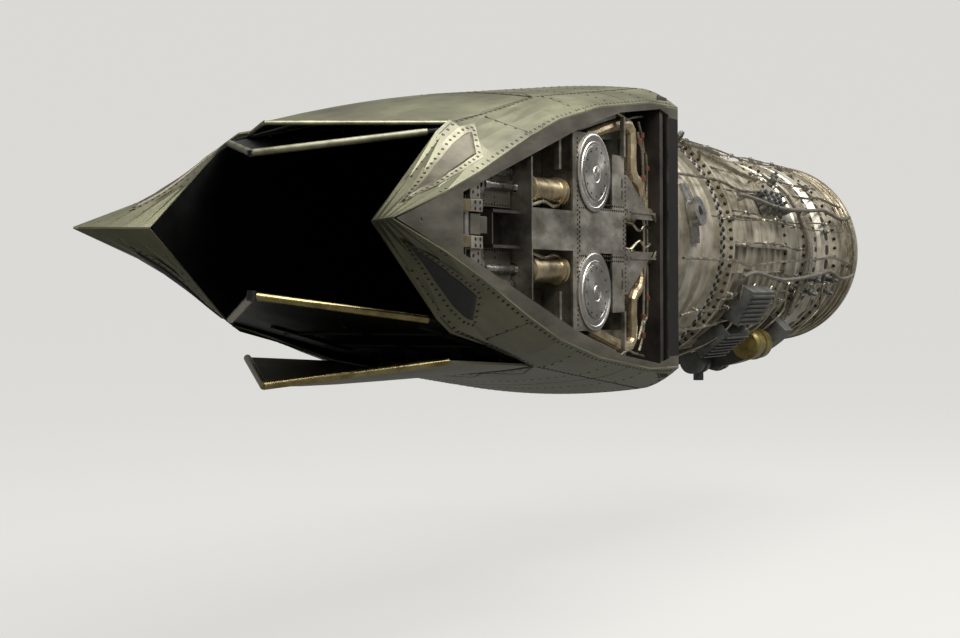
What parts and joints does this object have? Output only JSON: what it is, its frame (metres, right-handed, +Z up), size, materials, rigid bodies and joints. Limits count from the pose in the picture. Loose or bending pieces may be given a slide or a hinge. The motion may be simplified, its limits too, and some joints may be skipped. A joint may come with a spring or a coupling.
{
  "type": "turbofan jet engine",
  "caption": "Twin-spool afterburning turbofan with a rectangular two-dimensional thrust-vectoring nozzle, olive nozzle skins and open side bays.",
  "frame": {"origin": "centre of the inlet flange's front face, on the engine's axis", "axes": "+X forward along the engine's axis, out of the inlet; +Y to the engine's left; +Z up"},
  "size_m": [5.156, 1.204, 1.3156],
  "materials": {
    "case_metal": "machined cast metal, satin, lightly stained",
    "blade_metal": "satin",
    "hot_metal": "heat-tinted golden silver",
    "grey_paint": "satin grey paint, worn at its edges",
    "olive_can": "olive-gold paint with ribbed bands",
    "tube_metal": "bright drawn tube",
    "harness": "dark braided loom",
    "dark_frame": "near-black, matt",
    "bay_metal": "brushed grey metal, stained",
    "olive_skin": "olive-grey paint with a yellow-green sheen, stained",
    "duct_black": "dark sooted high-temperature coating"
  },
  "bodies": {
    "engine": {"inlet_case": "case_metal", "nose_cone": "grey_paint", "fan_case": "case_metal", "fan_stators": "case_metal", "intermediate_case": "case_metal", "compressor_case": "case_metal", "diffuser_case": "case_metal", "combustor_liner": "hot_metal", "fuel_nozzles": "hot_metal", "turbine_nozzle": "hot_metal", "turbine_case": "case_metal", "exhaust_case": "case_metal", "tail_cone": "hot_metal", "main_bearings": "blade_metal", "fan_duct_upper": "case_metal", "fan_duct_lower": "case_metal", "flame_holder": "hot_metal", "augmentor_duct": "case_metal", "augmentor_liner": "hot_metal", "gearbox": "grey_paint", "starter": "grey_paint", "generator": "olive_can", "fuel_pump": "grey_paint", "hydraulic_pump": "grey_paint", "oil_tank": "case_metal", "control_units": "grey_paint", "tube_runs": "tube_metal", "wiring_harness": "harness", "side_mounts": "grey_paint", "top_lugs": "grey_paint", "transition_duct": "case_metal", "nozzle_bulkhead": "dark_frame", "sidewalls": "bay_metal", "upper_skin": "olive_skin", "lower_skin": "olive_skin", "side_fairings": "olive_skin", "side_frames": "bay_metal", "bay_webs": "bay_metal", "side_panels": "bay_metal", "pivot_covers": "bay_metal", "actuator_barrels": "hot_metal", "air_ducts": "hot_metal"},
    "low_spool": {"fan_stage_1": "blade_metal", "fan_stage_2": "blade_metal", "fan_stage_3": "blade_metal", "low_shaft": "blade_metal", "low_turbine": "blade_metal"},
    "high_spool": {"compressor_rotor": "blade_metal", "high_turbine": "blade_metal"},
    "tower": {"tower_shaft": "blade_metal"},
    "upper_convergent": {"upper_convergent_flap": "duct_black"},
    "upper_throat": {"throat_pins_upper": "blade_metal"},
    "upper_divergent": {"upper_divergent_flap": "duct_black"},
    "lower_convergent": {"lower_convergent_flap": "duct_black"},
    "lower_throat": {"throat_pins_lower": "blade_metal"},
    "lower_divergent": {"lower_divergent_flap": "duct_black"},
    "upper_external": {"upper_external_flap": "olive_skin"},
    "lower_external": {"lower_external_flap": "olive_skin"},
    "upper_drive": {"upper_rods": "blade_metal"},
    "lower_drive": {"lower_rods": "blade_metal"}
  },
  "joints": [
    {"name": "low_spin", "type": "hinge", "parent": "engine", "child": "low_spool", "pos_m": [-1, 0, 0], "axis": [1, 0, 0], "continuous": true},
    {"name": "high_spin", "type": "hinge", "parent": "engine", "child": "high_spool", "pos_m": [-1.4, 0, 0], "axis": [-1, 0, 0], "continuous": true},
    {"name": "tower_spin", "type": "hinge", "parent": "engine", "child": "tower", "pos_m": [-1.06, 0, -0.3], "axis": [0, 0, 1], "continuous": true},
    {"name": "throat_closing", "type": "hinge", "parent": "engine", "child": "upper_convergent", "pos_m": [-3.2, 0, 0.468], "axis": [0, -1, 0], "range_deg": [0, 10]},
    {"name": "throat_closing_lower", "type": "hinge", "parent": "engine", "child": "lower_convergent", "pos_m": [-3.2, 0, -0.468], "axis": [0, 1, 0], "range_deg": [0, 10]},
    {"name": "upper_pin_turn", "type": "hinge", "parent": "upper_convergent", "child": "upper_throat", "pos_m": [-3.836, 0, 0.468], "axis": [0, 1, 0], "range_deg": [0, 10]},
    {"name": "lower_pin_turn", "type": "hinge", "parent": "lower_convergent", "child": "lower_throat", "pos_m": [-3.836, 0, -0.468], "axis": [0, -1, 0], "range_deg": [0, 10]},
    {"name": "vectoring", "type": "hinge", "parent": "upper_throat", "child": "upper_divergent", "pos_m": [-3.836, 0, 0.468], "axis": [0, 1, 0], "range_deg": [-20, 20]},
    {"name": "vectoring_lower", "type": "hinge", "parent": "lower_throat", "child": "lower_divergent", "pos_m": [-3.836, 0, -0.468], "axis": [0, 1, 0], "range_deg": [-20, 20]},
    {"name": "upper_external_swing", "type": "hinge", "parent": "engine", "child": "upper_external", "pos_m": [-3.925, 0, 0.484], "axis": [0, 1, 0], "range_deg": [-22.8, 22.8]},
    {"name": "lower_external_swing", "type": "hinge", "parent": "engine", "child": "lower_external", "pos_m": [-3.925, 0, -0.484], "axis": [0, 1, 0], "range_deg": [-22.8, 22.8]},
    {"name": "upper_rod_slide", "type": "slide", "parent": "engine", "child": "upper_drive", "axis": [-1, 0, 0], "range_m": [-0.035, 0.035]},
    {"name": "lower_rod_slide", "type": "slide", "parent": "engine", "child": "lower_drive", "axis": [1, 0, 0], "range_m": [-0.035, 0.035]}
  ],
  "couplings": [
    {"joint": "tower_spin", "follows": "high_spin", "ratio": 2},
    {"joint": "throat_closing_lower", "follows": "throat_closing", "ratio": 1},
    {"joint": "upper_pin_turn", "follows": "throat_closing", "ratio": 1},
    {"joint": "lower_pin_turn", "follows": "throat_closing", "ratio": 1},
    {"joint": "vectoring_lower", "follows": "vectoring", "ratio": 1},
    {"joint": "upper_external_swing", "follows": "vectoring", "ratio": 1.14},
    {"joint": "lower_external_swing", "follows": "vectoring", "ratio": 1.14},
    {"joint": "upper_rod_slide", "follows": "vectoring", "m_per_rad": 0.1},
    {"joint": "lower_rod_slide", "follows": "vectoring", "m_per_rad": 0.1}
  ]
}
